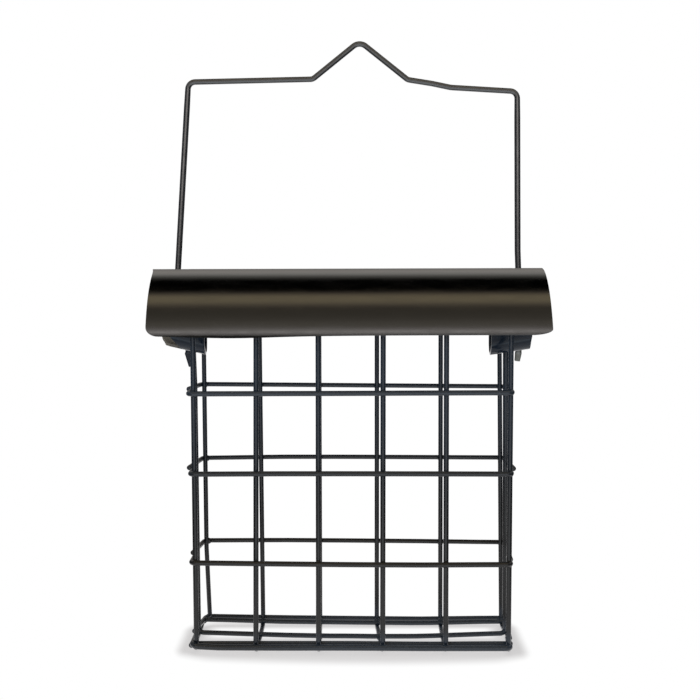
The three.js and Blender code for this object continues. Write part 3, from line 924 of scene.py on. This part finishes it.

# Floor
# The painted soft shadow round the feet, in metres: its middle, and its front and back edge, which
# is bowed
SHADOW_X, BOW_X, BOW_CURVE = 0.0013, 0.012, 1.02
# How far it reaches to the sides and to the front and back, and over what length it fades
SIDE_EDGE, FRONT_EDGE = (0.0724, 0.0062), (0.027, 0.0148)
FLOOR_HALF = 4000


def floor_coat():
    """Pale, with a painted soft shadow round the feet, and white past it. Its gloss is dark off to
    the sides.
    """
    mat = bpy.data.materials.new("studio_floor")
    tree, surface = emptied(mat, "ShaderNodeOutputMaterial")
    _, x, y, _ = places(tree)
    aside, bow = absolute(minus(x, SHADOW_X)), minus(x, BOW_X)
    corner = rising(aside, 0.06, 0.078, out_high=0.006)
    ahead = plus(absolute(y), times(bow, bow, BOW_CURVE), corner)
    beyond = [
        over(larger(minus(out, edge), 0.0), fade)
        for out, (edge, fade) in ((aside, SIDE_EDGE), (ahead, FRONT_EDGE))
    ]
    far = rising(distance(*beyond), 0.05, 1.0)
    # Painted light: the floor is lighter between the wires behind the middle
    painted_light_behind = times(rising(y, -0.001, 0.0085), falling(y, 0.0155, 0.0225))
    far = larger(far, times(falling(aside, 0.06, 0.068, top=0.95), painted_light_behind))
    # Painted shadow: a fixed grey glow round the feet, darker towards the sides, with a little
    # diffuse that keeps the real shadow
    painted_shadow_glow = blend(rising(aside, 0.064, 0.073), (0.604, 0.594, 0.594), (0.54, 0.53, 0.53))
    shadow = tree.nodes.new("ShaderNodeAddShader")
    feed(shader(tree, "ShaderNodeBsdfDiffuse", (0.16, 0.16, 0.16)), shadow.inputs[0])
    feed(shader(tree, "ShaderNodeEmission", painted_shadow_glow), shadow.inputs[1])
    white = shader(tree, "ShaderNodeEmission", (1.0, 1.0, 1.0))
    lit = shader(tree, "ShaderNodeBsdfDiffuse", (0.8, 0.8, 0.81))
    # What the gloss of the object sees: a bright strip in front, and less and less further away
    away = distance(x, y)
    off_side = rising(over(absolute(x), plus(away, 0.02)), 0.42, 0.7)
    strip = times(rising(y, -0.34, -0.27), falling(y, -0.2, -0.14))
    level = blend(rising(away, 1.3, 2.6), (1.05, 1.04, 1.05), (0.2, 0.19, 0.18))
    level = blend(strip, level, (1.5, 1.65, 1.75))
    level = blend(times(off_side, rising(away, 0.1, 0.26)), level, (0.06, 0.06, 0.065))
    mirrored = shader(tree, "ShaderNodeEmission", level)
    rays = tree.nodes.new("ShaderNodeLightPath")
    seen = either(rays.outputs["Is Camera Ray"], lit, either(far, shadow.outputs[0], white))
    feed(either(rays.outputs["Is Glossy Ray"], seen, mirrored), surface)
    return mat


square = [vec(x, y, 0) * FLOOR_HALF for x, y in ((-1, -1), (1, -1), (1, 1), (-1, 1))]
mesh = new_mesh("studio_floor", square, [(0, 1, 2, 3)])
mesh.materials.append(floor_coat())
floor = shown("studio_floor", mesh)

# The studio round the object, which only its gloss sees: (degrees, colour of the light from there)
GLOSS = 3.0
# From the front horizon, over the top, to the back horizon
AHEAD = [
    (0, 0.3, 0.28, 0.27), (1.5, 1.2, 1.12, 1.08), (4.5, 2.9, 2.75, 2.65), (8, 1.3, 1.2, 1.13),
    (11.7, 0.86, 0.78, 0.72), (15.3, 0.66, 0.6, 0.5), (21.5, 0.57, 0.51, 0.42),
    (28, 0.43, 0.38, 0.31), (37, 0.34, 0.3, 0.235), (47, 0.33, 0.285, 0.225),
    (52, 0.54, 0.45, 0.34), (57, 0.95, 0.79, 0.54), (61, 1.22, 1.02, 0.66), (66, 1.24, 1.03, 0.66),
    (70.5, 1.2, 0.99, 0.64), (74.5, 0.78, 0.64, 0.45), (79, 0.25, 0.21, 0.17),
    (83.5, 0.04, 0.035, 0.03), (87, 0.0, 0.0, 0.0), (111, 0.0, 0.0, 0.0),
    (117, 0.14, 0.135, 0.12), (124.5, 0.45, 0.44, 0.4), (132.7, 0.86, 0.83, 0.78),
    (143, 0.83, 0.78, 0.72), (156, 0.46, 0.43, 0.4), (165, 0.3, 0.28, 0.27),
    (180, 0.24, 0.23, 0.22),
]
# From a side's horizon to the top
BESIDE = [
    (0, 0.06, 0.06, 0.07), (14, 0.06, 0.06, 0.07), (24, 0.5, 0.5, 0.5), (45, 0.5, 0.49, 0.46),
    (60, 0.1, 0.1, 0.1), (90, 0.0, 0.0, 0.0),
]


def ramp_of(angle, bands):
    """The colour at an angle, which is given in half turns."""
    node = node_after(angle, "ShaderNodeValToRGB")
    steps = node.color_ramp.elements
    steps[0].position, steps[1].position = bands[0][0] / 180, bands[-1][0] / 180
    for degrees, *_ in bands[1:-1]:
        steps.new(degrees / 180)
    for element, (_, *colour) in zip(steps, bands):
        element.color = (*(c / GLOSS for c in colour), 1.0)
    feed(angle, node.inputs[0])
    return node.outputs["Color"]


def studio():
    """White behind the object, a plain fill light, and bands of light and dark for the gloss."""
    world = bpy.data.worlds.new("studio")
    tree, surface = emptied(world, "ShaderNodeOutputWorld")
    _, x, y, z = places(tree, "Generated")
    ahead = ramp_of(over(maths("ARCTAN2", z, times(y, -1.0)), math.pi), AHEAD)
    beside = ramp_of(over(maths("ARCSINE", z), math.pi), BESIDE)
    around = blend(rising(absolute(x), 0.42, 0.62), ahead, beside)
    glossy = shader(tree, "ShaderNodeBackground", around, GLOSS)
    plain = shader(tree, "ShaderNodeBackground", (1.0, 1.0, 1.0), 0.4)
    backdrop = shader(tree, "ShaderNodeBackground", (1.0, 1.0, 1.0), 1.0)
    rays = tree.nodes.new("ShaderNodeLightPath")
    unseen = either(rays.outputs["Is Glossy Ray"], plain, glossy)
    feed(either(rays.outputs["Is Camera Ray"], unseen, backdrop), surface)
    return world


bpy.context.scene.world = studio()


# Lamps and camera
def softbox(name, place, aim, width, power):
    lamp = bpy.data.lights.new(name, "AREA")
    lamp.size = width
    lamp.energy = power
    obj = shown(name, lamp)
    obj.location = place
    obj.rotation_mode = "QUATERNION"
    obj.rotation_quaternion = (Vector(aim) - Vector(place)).to_track_quat("-Z", "Y")
    obj.visible_glossy = False


softbox("overhead", (0.0, 0.1, 1.25), (0, 0, 0.1), 1.1, 9.5)
softbox("key", (-0.75, -1.1, 0.75), (0, 0, 0.12), 0.7, 7.0)

EYE, LOOKING_DOWN = vec(0.52, -586.0, 169.9), 3.9
camera = bpy.data.cameras.new("camera")
camera.sensor_fit = "HORIZONTAL"
camera.sensor_width = 36.0
camera.lens = 68.55
camera.clip_start, camera.clip_end = 0.02, 20.0
eye = shown("camera", camera)
eye.location = EYE * MM
eye.rotation_euler = (math.radians(90 - LOOKING_DOWN), 0, 0)
bpy.context.scene.camera = eye
bpy.context.scene.view_settings.view_transform = "Standard"
